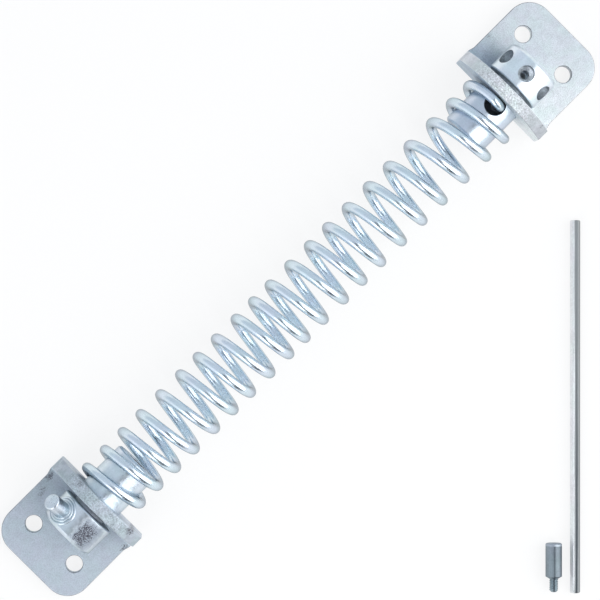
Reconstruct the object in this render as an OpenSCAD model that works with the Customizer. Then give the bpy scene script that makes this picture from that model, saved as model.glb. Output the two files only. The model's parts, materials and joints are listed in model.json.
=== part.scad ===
// Gate spring closer: two screw-on angle brackets, two turning hubs, a torsion spring,
// a stop pin, and the loose lock pin and hexagonal adjusting rod that belong to it.
// X runs along the spring from the lower to the upper bracket and Z points away from the gate.
// The origin is the middle of the lower bracket's screw holes, on the back face of both brackets.

/* [Overall] */
// Length from the outer edge of one bracket to the outer edge of the other
overall_length = 290; // [240:1:400]

/* [Brackets] */
// Width of each base plate
plate_width = 41; // [36:0.5:60]
// Length of each bracket from its outer edge to the spring side of its lug
plate_length = 39.5; // [36:0.25:60]
// Thickness of the bent strip
strip_thickness = 5; // [3:0.25:7]
// Radius of the two outer plate corners
corner_radius = 9.5; // [1:0.5:12]
// Inside radius of the bend between plate and lug
bend_radius = 2; // [1:0.25:4]
// How far the lug spreads past the plate on each side
lug_spread = 0.7; // [0.2:0.1:2]
// Strip left above the hub hole at the crown of the lug
lug_rim = 6.9; // [4:0.1:12]
// Height of the lug's arch from its shoulders to its crown
lug_arch_rise = 13; // [8:0.5:18]
// Rolled-over edge left by the punch on the spring side of the arch
punch_roll = 0.5; // [0.2:0.1:1.5]
// Diameter of the screw holes
screw_hole_diameter = 6.5; // [4:0.1:9]
// Distance between the two screw holes of a bracket
screw_spacing = 21.7; // [14:0.1:30]
// Distance from the outer edge to the screw holes
screw_edge = 13.2; // [8:0.1:18]

/* [Hubs] */
// Diameter of the drum that carries the pin and tension holes
drum_diameter = 22.8; // [20:0.1:30]
// Length of the drum
drum_length = 12.5; // [10:0.1:18]
// Gap between the drum and the base plate
drum_plate_gap = 0.75; // [0.4:0.05:3]
// End play of each hub, shown as a gap between its drum and its lug
hub_play = 2.1; // [0.4:0.1:4]
// Chamfer on the free end of the drum
drum_end_chamfer = 1.2; // [0.2:0.1:2]
// Chamfer on the lug end of the drum
drum_inner_chamfer = 0.4; // [0.1:0.1:1]
// Diameter of the shank that turns in the lug
shank_diameter = 18.4; // [14:0.1:19]
// Length of the shank from the drum
shank_length = 25.8; // [20:0.1:40]
// Chamfer on the end of the shank
shank_chamfer = 0.8; // [0.2:0.1:2]
// Depth of the groove turned into the shank between the drum and the lug
relief_depth = 2.3; // [0.2:0.1:2.5]
// Radial clearance between the shank and the lug
turning_gap = 0.08; // [0.02:0.02:0.1]
// Diameter of the blind bore drilled in from the spring end
hub_bore_diameter = 8.8; // [6:0.1:9.5]
// Wall left between the tip of that bore and the free end of the drum
hub_end_wall = 1.6; // [1:0.1:3]
// Diameter of the pin and tension holes in the drums
drum_hole_diameter = 6.4; // [5:0.1:8]
// Depth of those holes to the start of their drilled cone
drum_hole_depth = 4.9; // [2:0.1:5.2]
// Number of tension holes round the upper drum
tension_hole_count = 6; // [3:1:6]

/* [Spring] */
// Diameter of the spring wire
wire_diameter = 3.8; // [2.5:0.1:5]
// Clearance between the coil and the shank
coil_clearance = 0.75; // [0.5:0.05:3]
// Whole turns of the coil between its two end bends
coil_turns = 20; // [10:1:24]
// Unevenness of the winding, 0 being an even pitch and 1 being as wound
pitch_unevenness = 1; // [0:0.1:1.4]
// Inside radius of the bend that leads into each hook
hook_bend_radius = 1.5; // [1:0.1:1.8]
// Straight length of each hook past its bend
hook_length = 4.3; // [4:0.1:6]
// Clearance round the wire in its hook hole
hook_clearance = 2.3; // [1.8:0.1:2.5]
// Clearance between the hook and the lug side of its hole
hook_side_gap = 1.7; // [0.2:0.1:1.8]
// Angle by which each hook stands past the middle of its hole
hook_lean = 13; // [0:1:13]
// Gap between each end of the spring and its lug
hook_lug_gap = 0.35; // [0.3:0.1:2]

/* [Pins] */
// Length of a pin's plain body
pin_body_length = 12.8; // [8:0.1:16]
// Radial clearance of a pin's body in its drum hole
pin_gap = 0.05; // [0.05:0.05:0.4]
// Diameter of a pin's threaded stub
stub_diameter = 3.4; // [2.5:0.1:4]
// Length of a pin's threaded stub
stub_length = 5.1; // [3:0.1:6]
// Radial clearance of the stub in its tapped hole
stub_gap = 0.05; // [0.05:0.05:0.2]
// Chamfer round the head of a pin
pin_chamfer = 0.4; // [0.2:0.1:1.2]
// Chamfer on the tip of the stub
stub_chamfer = 0.8; // [0.2:0.1:1.2]
// Lean of the stop pin from upright
stop_pin_lean = 41; // [0:1:80]

/* [Adjusting rod] */
// Across-flats size of the hexagonal rod
rod_across_flats = 3.5; // [2.5:0.5:5]
// Length of the rod
rod_length = 143; // [80:1:180]
// Chamfer on the ends of the rod
rod_chamfer = 0.4; // [0.1:0.1:0.8]

/* [Loose pieces] */
// Near end of the rod, past the middle of the closer
rod_near_offset = 96.1; // [0:0.1:120]
// Distance from the side of the plates to the near end of the rod
rod_side_gap = 33.3; // [20:0.1:60]
// Angle between the loose pieces and the closer
lay_angle = 45; // [40:1:60]
// How far the tip of the loose pin stands back from the far end of the rod
pin_tip_gap = 0.6; // [0:0.1:40]
// Clear gap between the loose pin and the rod
pin_rod_gap = 3.2; // [1:0.1:10]

/* [Spring facets] */
// Rings along each turn of the coil
rings_per_turn = 16; // [8:1:24]
// Sides round the wire
wire_sides = 8; // [6:1:10]

/* [Hidden] */
$fn = 96;
// Length by which a cutting shape runs past the face it cuts
overcut = 1;
// Half of the included angle of a drill point
drill_half_angle = 59;

drum_r = drum_diameter / 2;
shank_r = shank_diameter / 2;
wire_r = wire_diameter / 2;
drum_hole_r = drum_hole_diameter / 2;
pin_r = drum_hole_r - pin_gap;
stub_r = stub_diameter / 2;
tapped_r = stub_r + stub_gap;
pin_bevel = (pin_r - stub_r) / tan(drill_half_angle);
hub_bore_r = hub_bore_diameter / 2;
relief_r = max(shank_r - relief_depth, hub_bore_r + 1);
hook_hole_r = wire_r + hook_clearance;
// Inner end of a tapped hole's cut, just inside the bore
tapped_end = sqrt(pow(hub_bore_r, 2) - pow(tapped_r, 2)) - 0.2;
axis_z = strip_thickness + drum_plate_gap + drum_r;

// Planes across the X axis
lower_face = plate_length - screw_edge;
upper_face = overall_length - screw_edge - plate_length;
middle_x = overall_length / 2 - screw_edge;
lower_drum_x = lower_face - strip_thickness - hub_play;
upper_drum_x = upper_face + strip_thickness + hub_play;

// Lug outline
lug_width = plate_width + 2 * lug_spread;
lug_base = strip_thickness + bend_radius;
lug_crown = axis_z + shank_r + turning_gap + lug_rim;
lug_arch_r = (pow(lug_width / 2, 2) + pow(lug_arch_rise, 2)) / (2 * lug_arch_rise);
bend_x = lower_face - strip_thickness - bend_radius;

// Hook holes, measured along a hub from the inner face of its drum
hook_hole_x = hub_play + strip_thickness + hook_lug_gap + hook_hole_r - hook_side_gap;
hook_shift = hook_clearance - hook_side_gap;
lower_hook_x = lower_drum_x + hook_hole_x - hook_shift;
upper_hook_x = upper_drum_x - hook_hole_x + hook_shift;

// Spring wire: each end runs in along a radius, bends into the coil and follows the coil round
coil_r = shank_r + coil_clearance + wire_r;
hook_bend_r = hook_bend_radius + wire_r;
hook_turn = acos(hook_bend_r / (coil_r - hook_bend_r));
hook_rise = (coil_r - hook_bend_r) * sin(hook_turn);
coil_sweep = 360 * coil_turns + 2 * (hook_turn + hook_lean);
// Turn over which the coil eases into its pitch at each end
pitch_ease = 40;
// How far the winding stands from an even pitch, at even steps from the lower end to the upper one
winding_shifts = [0, -1.2, -2.2, -1.4, -2.7, -2.4, -4.5, -3.8, -4.3, -2.8, -1.6, 1.1, 0];
coil_steps = round(coil_sweep / 360 * rings_per_turn);
bend_steps = max(4, round(rings_per_turn / 2));
hook_steps = 2;

// Angle turned by the coil with its pitch eased in and out, from 0 to 1
function eased(a) =
    (a < pitch_ease ? a * a / (2 * pitch_ease)
     : a > coil_sweep - pitch_ease
       ? coil_sweep - pitch_ease - pow(coil_sweep - a, 2) / (2 * pitch_ease)
       : a - pitch_ease / 2) / (coil_sweep - pitch_ease);

// Smooth curve through the winding's shifts, for a share f of the coil
function winding_shift(f) =
    let (last = len(winding_shifts) - 1)
    let (i = min(floor(f * last), last - 1))
    let (t = f * last - i)
    let (p = winding_shifts[max(i - 1, 0)])
    let (q = winding_shifts[i])
    let (r = winding_shifts[i + 1])
    let (s = winding_shifts[min(i + 2, last)])
    q + t * (r - p + t * (2 * p - 5 * q + 4 * r - s + t * (3 * (q - r) + s - p))) / 2;

function coil_x(a) =
    lower_hook_x + (upper_hook_x - lower_hook_x) * eased(a) + pitch_unevenness * winding_shift(eased(a));

function coil_point(a) =
    let (turn = a - hook_turn - hook_lean)
    [coil_x(a), coil_r * cos(turn), coil_r * sin(turn)];

// Point of an upright hook at one end, leaned past the middle of its hole
function leaned(x, side, y, z) =
    let (lean = side * hook_lean)
    [x, y * cos(lean) - side * z * sin(lean), y * sin(lean) + side * z * cos(lean)];

function bend_point(x, side, t) =
    leaned(x, side, hook_bend_r + hook_bend_r * cos(t), hook_rise + hook_bend_r * sin(t));

function hook_point(x, side, share) =
    leaned(x, side, 0, hook_rise - hook_length * share);

wire_path = [
    for (i = [0 : hook_steps - 1])
        hook_point(lower_hook_x, -1, 1 - i / hook_steps),
    for (i = [0 : bend_steps - 1])
        bend_point(lower_hook_x, -1, 180 - (180 - hook_turn) * i / bend_steps),
    for (i = [0 : coil_steps])
        coil_point(coil_sweep * i / coil_steps),
    for (i = [1 : bend_steps])
        bend_point(upper_hook_x, 1, hook_turn + (180 - hook_turn) * i / bend_steps),
    for (i = [1 : hook_steps])
        hook_point(upper_hook_x, 1, i / hook_steps)
];
wire_last = len(wire_path) - 1;

function unit(v) = v / norm(v);

function wire_tangent(i) =
    unit(wire_path[min(i + 1, wire_last)] - wire_path[max(i - 1, 0)]);

// Ring of points round the wire, square to its path
function wire_ring(i) =
    let (t = wire_tangent(i))
    let (b = unit([1, 0, 0] - t[0] * t))
    let (n = cross(b, t))
    [for (j = [0 : wire_sides - 1])
        let (a = 360 * j / wire_sides)
        wire_path[i] + wire_r * (cos(a) * n + sin(a) * b)];

// Least clear distance between points of the wire that lie half a turn or more apart along it
wire_run = [
    for (i = 0, run = 0;
         i <= wire_last;
         run = run + norm(wire_path[min(i + 1, wire_last)] - wire_path[i]), i = i + 1)
        run
];
wire_least_gap = min([
    for (i = [0 : wire_last - 1])
        for (j = [i + 1 : wire_last])
            if (wire_run[j] - wire_run[i] > PI * coil_r)
                norm(wire_path[j] - wire_path[i])
]) - wire_diameter;
echo(wire_least_gap = wire_least_gap);

// Loose pieces: half the rod's width, and where the loose pin's shoulder lies along the rod
rod_half_width = rod_across_flats / 2 / cos(30);
pin_shoulder_along = rod_length - pin_tip_gap - stub_length - pin_bevel;

// Base plate with its two outer corners rounded
module plate_outline() {
    difference() {
        translate([-screw_edge, -plate_width / 2])
            square([bend_x + screw_edge, plate_width]);
        for (side = [0, 1])
            mirror([0, side])
                translate([corner_radius - screw_edge, plate_width / 2 - corner_radius])
                    difference() {
                        translate([-corner_radius - overcut, 0])
                            square(corner_radius + overcut);
                        circle(corner_radius);
                    }
    }
}

// Section of the bend, in X and Z
module bend_section() {
    intersection() {
        difference() {
            circle(bend_radius + strip_thickness);
            circle(bend_radius);
        }
        translate([0, -bend_radius - strip_thickness])
            square(bend_radius + strip_thickness);
    }
}

// Lug seen along X: straight sides under an arched top
module lug_outline() {
    translate([-lug_width / 2, lug_base])
        square([lug_width, lug_crown - lug_arch_rise - lug_base]);
    intersection() {
        translate([0, lug_crown - lug_arch_r])
            circle(lug_arch_r);
        translate([-lug_width / 2, lug_crown - lug_arch_rise])
            square([lug_width, lug_arch_rise]);
    }
}

// Ring that cuts the rolled-over edge from the arch
module punch_roll_cut() {
    rotate([0, 90, 0])
        rotate_extrude()
            polygon([
                [lug_arch_r - punch_roll - overcut, overcut],
                [lug_arch_r + overcut, overcut],
                [lug_arch_r + overcut, -punch_roll - overcut]
            ]);
}

// One angle bracket, drawn as the lower one
module bracket() {
    difference() {
        union() {
            linear_extrude(strip_thickness)
                plate_outline();
            translate([bend_x, 0, lug_base])
                rotate([90, 0, 0])
                    linear_extrude(lug_width, center = true)
                        bend_section();
            translate([lower_face - strip_thickness, 0, 0])
                rotate([90, 0, 90])
                    linear_extrude(strip_thickness)
                        lug_outline();
        }
        for (side = [-1, 1])
            translate([0, side * screw_spacing / 2, -overcut])
                cylinder(d = screw_hole_diameter, h = strip_thickness + 2 * overcut);
        translate([lower_face - strip_thickness - overcut, 0, axis_z])
            rotate([0, 90, 0])
                cylinder(r = shank_r + turning_gap, h = strip_thickness + 2 * overcut);
        translate([lower_face, 0, lug_crown - lug_arch_r])
            punch_roll_cut();
    }
}

// Turned blank of a hub: the drum lies along -X and the shank, with its groove, along +X
module hub_blank() {
    rotate([0, 90, 0])
        rotate_extrude()
            polygon([
                [0, -drum_length],
                [drum_r - drum_end_chamfer, -drum_length],
                [drum_r, drum_end_chamfer - drum_length],
                [drum_r, -drum_inner_chamfer],
                [drum_r - drum_inner_chamfer, 0],
                [relief_r, 0],
                [relief_r, hub_play],
                [shank_r, hub_play],
                [shank_r, shank_length - shank_chamfer],
                [shank_r - shank_chamfer, shank_length],
                [0, shank_length]
            ]);
}

// Blind bore with a drilled cone at its end
module hub_bore() {
    rotate([0, 90, 0])
        rotate_extrude()
            polygon([
                [0, hub_end_wall - drum_length],
                [hub_bore_r, hub_end_wall - drum_length + hub_bore_r / tan(drill_half_angle)],
                [hub_bore_r, shank_length + overcut],
                [0, shank_length + overcut]
            ]);
}

// Radial hole of a drum along +Z: a drilled seat with a tapped centre that runs into the bore
module drum_hole() {
    seat_r = drum_r - drum_hole_depth;
    cone = (drum_hole_r - tapped_r) / tan(drill_half_angle);
    translate([-drum_length / 2, 0, 0])
        rotate_extrude()
            polygon([
                [0, tapped_end],
                [tapped_r, tapped_end],
                [tapped_r, seat_r - cone],
                [drum_hole_r, seat_r],
                [drum_hole_r, drum_r + overcut],
                [0, drum_r + overcut]
            ]);
}

// Hole in the shank for the spring's hook, along -Z
module hook_hole() {
    translate([hook_hole_x, 0, 0])
        mirror([0, 0, 1])
            cylinder(r = hook_hole_r, h = shank_r + overcut);
}

// Pin along +Z, with the edge of its bevelled shoulder at Z = 0
module pin() {
    rotate_extrude()
        polygon([
            [0, -pin_bevel - stub_length],
            [stub_r - stub_chamfer, -pin_bevel - stub_length],
            [stub_r, stub_chamfer - pin_bevel - stub_length],
            [stub_r, -pin_bevel],
            [pin_r, 0],
            [pin_r, pin_body_length - pin_chamfer],
            [pin_r - pin_chamfer, pin_body_length],
            [0, pin_body_length]
        ]);
}

// Frame of the loose pieces: the near end of the rod, with X along the rod
module laid_out() {
    translate([middle_x + rod_near_offset, -plate_width / 2 - rod_side_gap, 0])
        rotate([0, 0, 180 + lay_angle])
            children();
}

module lower_bracket() {
    color([0.74, 0.77, 0.81])
        bracket();
}

module upper_bracket() {
    color([0.76, 0.79, 0.82])
        translate([2 * middle_x, 0, 0])
            rotate([0, 0, 180])
                bracket();
}

module lower_hub() {
    color([0.80, 0.84, 0.88])
        translate([lower_drum_x, 0, axis_z])
            difference() {
                hub_blank();
                hub_bore();
                hook_hole();
                rotate([-stop_pin_lean, 0, 0])
                    drum_hole();
            }
}

module upper_hub() {
    color([0.80, 0.84, 0.88])
        translate([upper_drum_x, 0, axis_z])
            rotate([0, 180, 0])
                difference() {
                    hub_blank();
                    hub_bore();
                    hook_hole();
                    for (i = [0 : tension_hole_count - 1])
                        rotate([180 + 360 * i / tension_hole_count, 0, 0])
                            drum_hole();
                }
}

module spring() {
    sides = wire_sides;
    color([0.78, 0.84, 0.88])
        translate([0, 0, axis_z])
            polyhedron(
                points = [for (i = [0 : wire_last]) each wire_ring(i)],
                faces = [
                    for (j = [1 : sides - 2])
                        [0, j, j + 1],
                    for (i = [0 : wire_last - 1])
                        for (j = [0 : sides - 1])
                            each [
                                [i * sides + j, (i + 1) * sides + (j + 1) % sides, i * sides + (j + 1) % sides],
                                [i * sides + j, (i + 1) * sides + j, (i + 1) * sides + (j + 1) % sides]
                            ],
                    for (j = [1 : sides - 2])
                        [wire_last * sides, wire_last * sides + j + 1, wire_last * sides + j]
                ]
            );
}

module lower_stop_pin() {
    color([0.82, 0.85, 0.88])
        translate([lower_drum_x - drum_length / 2, 0, axis_z])
            rotate([-stop_pin_lean, 0, 0])
                translate([0, 0, drum_r - drum_hole_depth])
                    pin();
}

module lock_pin() {
    color([0.58, 0.62, 0.66])
        laid_out()
            translate([pin_shoulder_along, -rod_half_width - pin_rod_gap - pin_r, pin_r])
                rotate([0, -90, 0])
                    pin();
}

module adjusting_rod() {
    color([0.72, 0.74, 0.76])
        laid_out()
            translate([0, 0, rod_across_flats / 2])
                rotate([0, 90, 0])
                    intersection() {
                        rotate([0, 0, 30])
                            cylinder(r = rod_half_width, h = rod_length, $fn = 6);
                        rotate_extrude()
                            polygon([
                                [0, 0],
                                [rod_half_width - rod_chamfer, 0],
                                [rod_half_width, rod_chamfer],
                                [rod_half_width, rod_length - rod_chamfer],
                                [rod_half_width - rod_chamfer, rod_length],
                                [0, rod_length]
                            ]);
                    }
}

lower_bracket();
upper_bracket();
lower_hub();
upper_hub();
spring();
lower_stop_pin();
lock_pin();
adjusting_rod();
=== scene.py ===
"""Gate spring closer: plated angle brackets, turned hubs, coiled wire, pins and hexagonal rod."""
import json
from math import acos, asin, ceil, cos, pi, radians, sin, sqrt, tan, tau

import bmesh
import bpy
from mathutils import Matrix, Vector


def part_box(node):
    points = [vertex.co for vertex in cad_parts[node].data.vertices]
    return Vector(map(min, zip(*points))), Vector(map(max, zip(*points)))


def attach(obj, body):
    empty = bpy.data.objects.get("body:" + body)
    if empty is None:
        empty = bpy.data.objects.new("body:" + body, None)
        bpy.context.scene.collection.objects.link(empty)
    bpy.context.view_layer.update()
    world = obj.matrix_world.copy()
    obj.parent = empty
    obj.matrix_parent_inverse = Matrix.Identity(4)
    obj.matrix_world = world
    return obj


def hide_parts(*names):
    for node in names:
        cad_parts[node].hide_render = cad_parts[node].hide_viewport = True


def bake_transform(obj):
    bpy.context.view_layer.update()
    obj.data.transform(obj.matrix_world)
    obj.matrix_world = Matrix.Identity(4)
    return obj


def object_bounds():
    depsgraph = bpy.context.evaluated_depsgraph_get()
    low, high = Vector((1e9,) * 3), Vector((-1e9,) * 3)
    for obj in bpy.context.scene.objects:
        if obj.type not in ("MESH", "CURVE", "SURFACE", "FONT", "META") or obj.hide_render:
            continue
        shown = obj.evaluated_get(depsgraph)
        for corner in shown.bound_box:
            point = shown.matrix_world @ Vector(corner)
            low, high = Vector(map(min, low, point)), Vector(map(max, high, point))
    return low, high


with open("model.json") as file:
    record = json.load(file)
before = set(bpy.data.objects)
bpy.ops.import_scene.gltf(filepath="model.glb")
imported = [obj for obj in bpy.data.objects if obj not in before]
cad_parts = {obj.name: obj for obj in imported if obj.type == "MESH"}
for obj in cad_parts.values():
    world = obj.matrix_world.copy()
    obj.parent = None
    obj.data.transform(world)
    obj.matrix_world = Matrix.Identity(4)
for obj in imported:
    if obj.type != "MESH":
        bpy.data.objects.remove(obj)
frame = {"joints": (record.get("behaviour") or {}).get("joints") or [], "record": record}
cad_low, cad_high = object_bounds()

# Sizes are in millimetres, and each finished mesh is brought to metres
MM = 0.001
TURN = tau
QUARTER = TURN / 4

# Distances within which corners are taken as one
CUT_REACH = 1e-5
FINE_MERGE = 1e-4
MERGE = 1e-3

mounts = {m["name"]: m for m in frame["record"]["mounts"]}
joints = {j["name"]: j for j in frame["joints"]}


def node_box(node):
    """The lowest and the highest corner of a CAD node in millimetres."""
    low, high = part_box(node)
    return Vector(low) / MM, Vector(high) / MM


bracket_low, bracket_high = node_box("lower_bracket")
hub_low, hub_high = node_box("lower_hub")
upper_bracket_high = node_box("upper_bracket")[1]
upper_hub_high = node_box("upper_hub")[1]
AXIS_Z = joints["spring_twist"]["pos_m"][2] / MM
MIDDLE_X = (bracket_low.x + upper_bracket_high.x) / 2

# Bent strip of the brackets
STRIP = 5.0
PLATE_WIDTH = 41.0
CORNER_RADIUS = 9.5
BEND_RADIUS = 2.0
BEND_CUTS = 14
ARCH_RISE = 13.0
LUG_HALF_WIDTH = bracket_high.y
LUG_FACE_X = bracket_high.x
UPPER_LUG_X = 2 * MIDDLE_X - LUG_FACE_X
LUG_CROWN = bracket_high.z
BULGE_RUN = 2.5
BACK_ROLL = 0.45
FRONT_ROLL = 0.4
ROLLED_CORNER = radians(60)
LUG_HOLE_RADIUS = 9.28
SCREW_HOLE_RADIUS = mounts["lower_screws"]["dims"]["hole_r_mm"]
SCREW_SPACING = mounts["lower_screws"]["dims"]["spacing_y_mm"]

# Run of the flat strip up to its bend, round it and up to its lug
BEND_START = LUG_FACE_X - STRIP - BEND_RADIUS
BEND_RUN = QUARTER * (BEND_RADIUS + STRIP / 2)
LUG_START = BEND_START + BEND_RUN
LUG_BASE = STRIP + BEND_RADIUS

# Hubs, measured from the inner face of the drum
DRUM_RADIUS = (hub_high.z - hub_low.z) / 2
DRUM_LENGTH = 12.5
DRUM_END_CHAMFER = 1.2
DRUM_INNER_CHAMFER = 0.4
RELIEF_WIDTH = 2.1
RELIEF_RADIUS = 6.9
RELIEF_CHAMFER = 0.3
SHANK_RADIUS = 9.2
SHANK_LENGTH = hub_high.x - hub_low.x - DRUM_LENGTH
SHANK_CHAMFER = 0.8
HUB_ROUNDING = 0.15
HUB_BORE_RADIUS = 4.4
HUB_BORE_LIP = 0.2
HUB_END_WALL = 1.6
WALL_MARGIN = 0.1
DRUM_HOLE_RADIUS = mounts["tension_hole_front"]["dims"]["r_mm"]
DRUM_HOLE_DEPTH = mounts["tension_hole_front"]["dims"]["length_mm"]
TENSION_HOLES = 6
HOOK_HOLE_X = 9.95
HOOK_HOLE_RADIUS = 4.2
LOWER_DRUM_X = hub_low.x + DRUM_LENGTH
UPPER_DRUM_X = upper_hub_high.x - DRUM_LENGTH
DRILL_SLOPE = tan(radians(59))
DRILL_STEPS = 72
OVERCUT = 1.0

# Spring wire
WIRE_RADIUS = 1.9
COIL_RADIUS = 11.85
COIL_TURNS = 20
WINDING_SHIFTS = (0, -1.2, -2.2, -1.4, -2.7, -2.4, -4.5, -3.8, -4.3, -2.8, -1.6, 1.1, 0)
PITCH_EASE = radians(40)
HOOK_BEND_RADIUS = 3.4
HOOK_LENGTH = 4.3
HOOK_SHIFT = 0.6
HOOK_LEAN = radians(13)
HOOK_TURN = acos(HOOK_BEND_RADIUS / (COIL_RADIUS - HOOK_BEND_RADIUS))
HOOK_RISE = (COIL_RADIUS - HOOK_BEND_RADIUS) * sin(HOOK_TURN)
LOWER_HOOK_X = LOWER_DRUM_X + HOOK_HOLE_X - HOOK_SHIFT
UPPER_HOOK_X = UPPER_DRUM_X - HOOK_HOLE_X + HOOK_SHIFT
COIL_SWEEP = TURN * COIL_TURNS + 2 * (HOOK_TURN + HOOK_LEAN)
WIRE_SIDES = 28
RINGS_PER_TURN = 72
BEND_RINGS = 20
HOOK_RINGS = 6
SHADED_HOOK_RINGS = 5
CUT_END_INSET = 0.3
CUT_END_RISE = 0.2

# Pins and rod
PIN_RADIUS = 3.15
PIN_BODY = 12.77
PIN_CHAMFER = 0.4
PIN_ROUNDING = 0.12
STUB_RADIUS = 1.7
STUB_LENGTH = 5.1
STUB_CHAMFER = 0.8
STUB_OVERLAP = 0.2
STUB_SPARE = 2.0
THREAD_PITCH = 0.7
THREAD_DEPTH = 0.25
THREAD_STEPS = 48
THREAD_SPARE_TURNS = 4
CREST_ROOM = 0.02
TAP_ROOM = 0.05
TAP_OVERRUN = 0.2
TAP_LEAD = 0.1
STOP_PIN_LEAN = radians(41)
STOP_PIN_LIFT = 0.03
BEAD_STEPS = 96
BEAD_SIDES = 18
BEAD_SINK = 0.05
ROD_FLATS = 3.5
ROD_LENGTH = 142.98
ROD_CORNER_ROUNDING = 0.22
ROD_END_CHAMFER = 0.55
LAY_ANGLE = radians(45)
ROD_NEAR_X = 227.9
ROD_NEAR_Y = -53.8
LOCK_PIN_ALONG = 136.43
LOCK_PIN_ASIDE = -8.37

# Rod's place along and across the direction in which the loose pieces lie
ROD_ACROSS = (ROD_NEAR_Y - ROD_NEAR_X) / sqrt(2)
ROD_NEAR = (ROD_NEAR_X + ROD_NEAR_Y) / sqrt(2)
ROD_FAR = ROD_NEAR - ROD_LENGTH

# Turns of the object coordinates that bring a pin's or the rod's length onto X
STOP_PIN_TURN = (STOP_PIN_LEAN, QUARTER, 0.0)
LAID_TURN = (0.0, 0.0, -LAY_ANGLE)

# Places in a piece's list of finishes, after the first one
EDGE, RIM = 1, 2
DRUM_HOLE, GROOVE, HOOK_HOLE = 1, 2, 3
SHADED_HOOK_END = 1
MOST_FINISHES = 4
SHARP_EDGE = radians(30)

# Turns that lay a piece made along +Z
along_x = Matrix.Rotation(QUARTER, 4, "Y")
against_x = Matrix.Rotation(-QUARTER, 4, "Y")


# Shaping helpers
def moved(x, y, z):
    return Matrix.Translation((x, y, z))


def everything(bm):
    return bm.verts[:] + bm.edges[:] + bm.faces[:]


def outward(bm):
    """A bmesh with its faces turned outward."""
    bmesh.ops.recalc_face_normals(bm, faces=bm.faces)
    return bm


def rounded(bm, parts, offset, segments, affect, clamp=False):
    """Corners or edges of a bmesh rounded off."""
    bmesh.ops.bevel(bm, geom=parts, offset=offset, segments=segments, profile=0.5, affect=affect,
                    material=-1, clamp_overlap=clamp)


def polyline(bm, points):
    """A chain of edges through the points."""
    chain = [bm.verts.new(points[0])]
    for point in points[1:]:
        made = bmesh.ops.extrude_vert_indiv(bm, verts=[chain[-1]])
        chain.append(made["verts"][0])
        chain[-1].co = point
    return chain


def thickened(bm, height):
    """The faces of a flat bmesh carried up along +Z into a solid."""
    made = bmesh.ops.extrude_face_region(bm, geom=bm.faces[:])
    top = [part for part in made["geom"] if isinstance(part, bmesh.types.BMVert)]
    bmesh.ops.translate(bm, vec=(0, 0, height), verts=top)


def turned(profile, steps, rounding=0.0):
    """A turned solid round Z from (radius, height) points, with its corners off the axis rounded."""
    bm = bmesh.new()
    chain = polyline(bm, [(radius, 0, height) for radius, height in profile])
    if rounding:
        corners = [v for v in chain[1:-1] if v.co.x > rounding]
        rounded(bm, corners, rounding, 3, "VERTICES")
    bmesh.ops.spin(bm, geom=everything(bm), cent=(0, 0, 0), axis=(0, 0, 1),
                   angle=TURN, steps=steps, use_merge=True)
    bmesh.ops.remove_doubles(bm, verts=bm.verts, dist=FINE_MERGE)
    return outward(bm)


def as_mesh(bm, name):
    """A mesh with the shape of a bmesh, which is freed."""
    mesh = bpy.data.meshes.new(name)
    bm.to_mesh(mesh)
    bm.free()
    return mesh


def placed(name, data):
    """A new object in the scene for a mesh, a lamp or a camera."""
    thing = bpy.data.objects.new(name, data)
    bpy.context.scene.collection.objects.link(thing)
    return thing


def loose_object(bm, name):
    """A bare object that holds a bmesh for a moment, with room for its finishes."""
    mesh = as_mesh(bm, name)
    for _ in range(MOST_FINISHES):
        mesh.materials.append(None)
    return placed(name, mesh)


def combined(work, tool, operation):
    """The bmesh work with the bmesh tool cut from it, joined to it or kept in common."""
    host, cutter = loose_object(work, "work"), loose_object(tool, "tool")
    step = host.modifiers.new("cut", "BOOLEAN")
    step.operation, step.solver, step.object = operation, "EXACT", cutter
    seen = host.evaluated_get(bpy.context.evaluated_depsgraph_get())
    result = bmesh.new()
    result.from_mesh(seen.to_mesh())
    seen.to_mesh_clear()
    for thing in (host, cutter):
        mesh = thing.data
        bpy.data.objects.remove(thing)
        bpy.data.meshes.remove(mesh)
    bmesh.ops.dissolve_degenerate(result, dist=MERGE, edges=result.edges)
    return result


def gathered(solids):
    """Several separate bmeshes as one."""
    whole = bmesh.new()
    for bm in solids:
        mesh = as_mesh(bm, "gathered")
        whole.from_mesh(mesh)
        bpy.data.meshes.remove(mesh)
    return whole


def painted(bm, finish):
    """A bmesh with all its faces set to one finish of the list."""
    for face in bm.faces:
        face.material_index = finish
    return bm


def finished(bm, name, place, materials):
    """A piece in metres at its place, smooth but for its sharp edges."""
    bm.transform(Matrix.Scale(MM, 4) @ place)
    for face in bm.faces:
        face.smooth = True
    for edge in bm.edges:
        edge.smooth = len(edge.link_faces) == 2 and edge.calc_face_angle() < SHARP_EDGE
    mesh = as_mesh(bm, name)
    for material in materials:
        mesh.materials.append(material)
    piece = placed(name, mesh)
    piece.modifiers.new("even_shading", "WEIGHTED_NORMAL").keep_sharp = True
    return piece


# Node helpers
def rgb(red, green, blue):
    return (red, green, blue, 1.0)


def socket_group(name, inputs, outputs):
    """An empty shader group with its sockets, and its two ends."""
    group = bpy.data.node_groups.new(name, "ShaderNodeTree")
    for way, sockets in (("INPUT", inputs), ("OUTPUT", outputs)):
        for label, kind in sockets.items():
            group.interface.new_socket(label, in_out=way, socket_type="NodeSocket" + kind)
    return group, group.nodes.new("NodeGroupInput"), group.nodes.new("NodeGroupOutput")


def node(tree, kind, values=None, **settings):
    """A new node with its settings, and with its inputs linked or set to constants."""
    made = tree.nodes.new(kind)
    for key, value in settings.items():
        setattr(made, key, value)
    for key, value in (values or {}).items():
        if isinstance(value, bpy.types.NodeSocket):
            tree.links.new(value, made.inputs[key])
        else:
            made.inputs[key].default_value = value
    return made


def maths(tree, operation, *values):
    return node(tree, "ShaderNodeMath", dict(enumerate(values)), operation=operation).outputs[0]


def vectors(tree, operation, *values):
    """The outputs of one step of vector maths."""
    return node(tree, "ShaderNodeVectorMath", dict(enumerate(values)), operation=operation).outputs


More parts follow.
